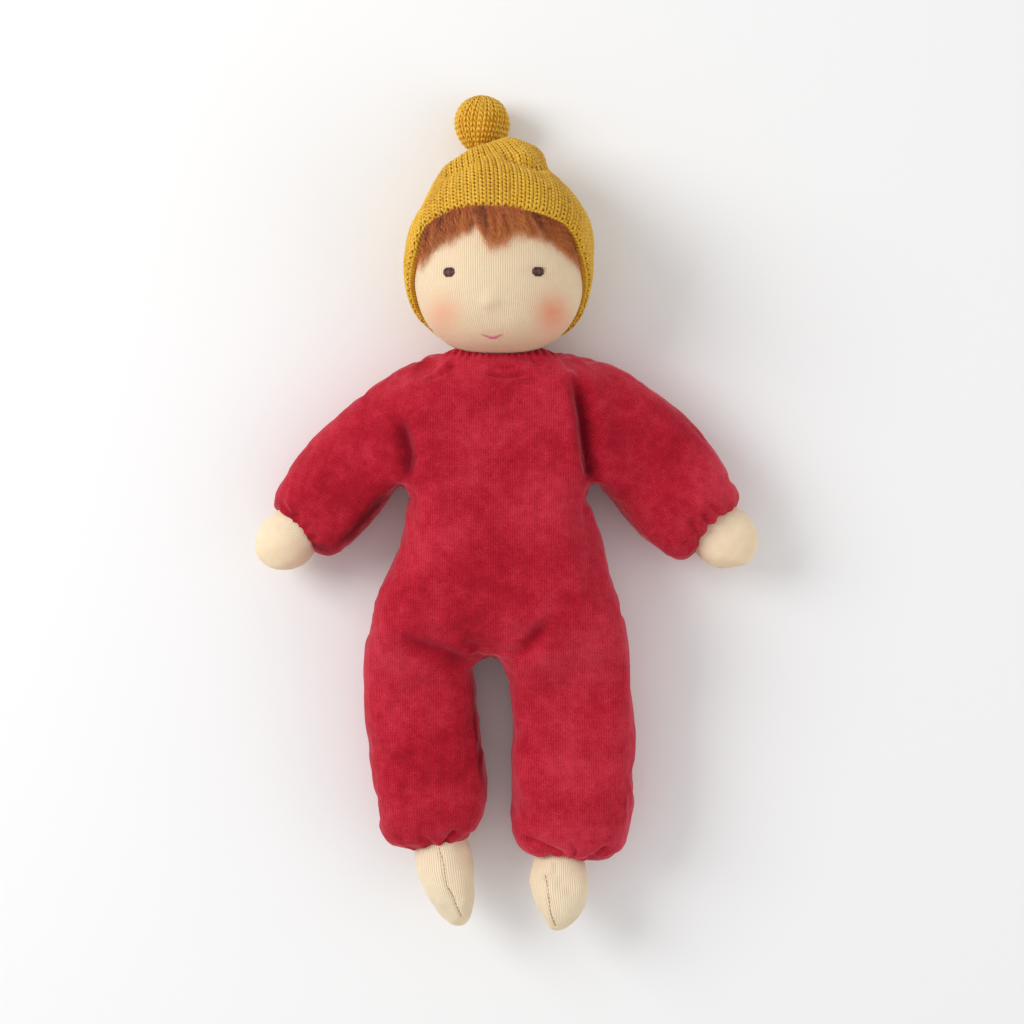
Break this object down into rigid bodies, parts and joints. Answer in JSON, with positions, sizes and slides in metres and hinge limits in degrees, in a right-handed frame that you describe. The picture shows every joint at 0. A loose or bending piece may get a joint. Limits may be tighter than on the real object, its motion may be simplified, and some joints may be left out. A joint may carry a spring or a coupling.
{
  "type": "waldorf doll",
  "caption": "Soft cloth doll with a round jersey head, a velour suit, gathered cuffs and a rib knit pompom cap; head, arms, hands, legs, feet and pompom move.",
  "frame": {"origin": "middle of the flat on the doll's back that it lies on", "axes": "+Z out of the belly, +Y towards the head, +X towards the doll's left arm"},
  "size_m": [0.2245, 0.3733, 0.075],
  "materials": {
    "velour": "matte",
    "jersey": "matte",
    "wool": "matte",
    "red_thread": "satin",
    "brown_thread": "satin",
    "pink_thread": "satin",
    "mohair": "matte",
    "rib_knit": "matte"
  },
  "bodies": {
    "torso": {"torso_front": "velour", "torso_back": "velour", "torso_stuffing": "wool"},
    "neck": {"neck_tube": "jersey", "neck_tie": "red_thread"},
    "head": {"head_skin": "jersey", "head_ball": "wool", "nose_bead": "wool", "eye_right": "brown_thread", "eye_left": "brown_thread", "mouth": "pink_thread", "hair": "mohair"},
    "cap": {"cap": "rib_knit"},
    "pompom": {"pompom_cover": "rib_knit", "pompom_stuffing": "wool", "pompom_knot": "rib_knit"},
    "arm_right": {"sleeve_right_front": "velour", "sleeve_right_back": "velour", "arm_stuffing_right": "wool", "cuff_thread_right": "red_thread"},
    "arm_left": {"sleeve_left_front": "velour", "sleeve_left_back": "velour", "arm_stuffing_left": "wool", "cuff_thread_left": "red_thread"},
    "hand_right": {"hand_skin_right": "jersey", "hand_stuffing_right": "wool"},
    "hand_left": {"hand_skin_left": "jersey", "hand_stuffing_left": "wool"},
    "leg_right": {"trouser_right_front": "velour", "trouser_right_back": "velour", "leg_stuffing_right": "wool", "ankle_thread_right": "red_thread"},
    "leg_left": {"trouser_left_front": "velour", "trouser_left_back": "velour", "leg_stuffing_left": "wool", "ankle_thread_left": "red_thread"},
    "foot_right": {"foot_skin_right": "jersey", "foot_stuffing_right": "wool"},
    "foot_left": {"foot_skin_left": "jersey", "foot_stuffing_left": "wool"}
  },
  "joints": [
    {"name": "head_turn", "type": "hinge", "parent": "torso", "child": "neck", "pos_m": [0, 0.0686, 0.03], "axis": [0, 1, 0], "range_deg": [-60, 60]},
    {"name": "head_nod", "type": "hinge", "parent": "neck", "child": "head", "pos_m": [0, 0.0686, 0.03], "axis": [1, 0, 0], "range_deg": [0, 15]},
    {"name": "cap_pull_off", "type": "slide", "parent": "head", "child": "cap", "axis": [0, 1, 0], "range_m": [0, 0.085], "deforming": ["cap"]},
    {"name": "pompom_swing", "type": "hinge", "parent": "cap", "child": "pompom", "pos_m": [-0.0085, 0.157, 0.0125], "axis": [0, 0, 1], "range_deg": [-25, 25]},
    {"name": "arm_raise_right", "type": "hinge", "parent": "torso", "child": "arm_right", "pos_m": [-0.0352, 0.05, 0.0185], "axis": [0, 0, -1], "range_deg": [0, 50]},
    {"name": "arm_raise_left", "type": "hinge", "parent": "torso", "child": "arm_left", "pos_m": [0.0352, 0.05, 0.0185], "axis": [0, 0, 1], "range_deg": [0, 50]},
    {"name": "wrist_bend_right", "type": "hinge", "parent": "arm_right", "child": "hand_right", "pos_m": [-0.08343, -0.00101, 0.0193], "axis": [0, 0, 1], "range_deg": [-12, 12]},
    {"name": "wrist_bend_left", "type": "hinge", "parent": "arm_left", "child": "hand_left", "pos_m": [0.09024, -0.00168, 0.0193], "axis": [0, 0, 1], "range_deg": [-12, 12]},
    {"name": "leg_bend_right", "type": "hinge", "parent": "torso", "child": "leg_right", "pos_m": [-0.0342, -0.066, 0.0205], "axis": [-1, 0, 0], "range_deg": [0, 70]},
    {"name": "leg_bend_left", "type": "hinge", "parent": "torso", "child": "leg_left", "pos_m": [0.0334, -0.066, 0.0205], "axis": [-1, 0, 0], "range_deg": [0, 70]},
    {"name": "ankle_bend_right", "type": "hinge", "parent": "leg_right", "child": "foot_right", "pos_m": [-0.0276, -0.1435, 0.0205], "axis": [-1, 0, 0], "range_deg": [-12, 12]},
    {"name": "ankle_bend_left", "type": "hinge", "parent": "leg_left", "child": "foot_left", "pos_m": [0.0268, -0.1485, 0.0205], "axis": [-1, 0, 0], "range_deg": [-12, 12]}
  ]
}
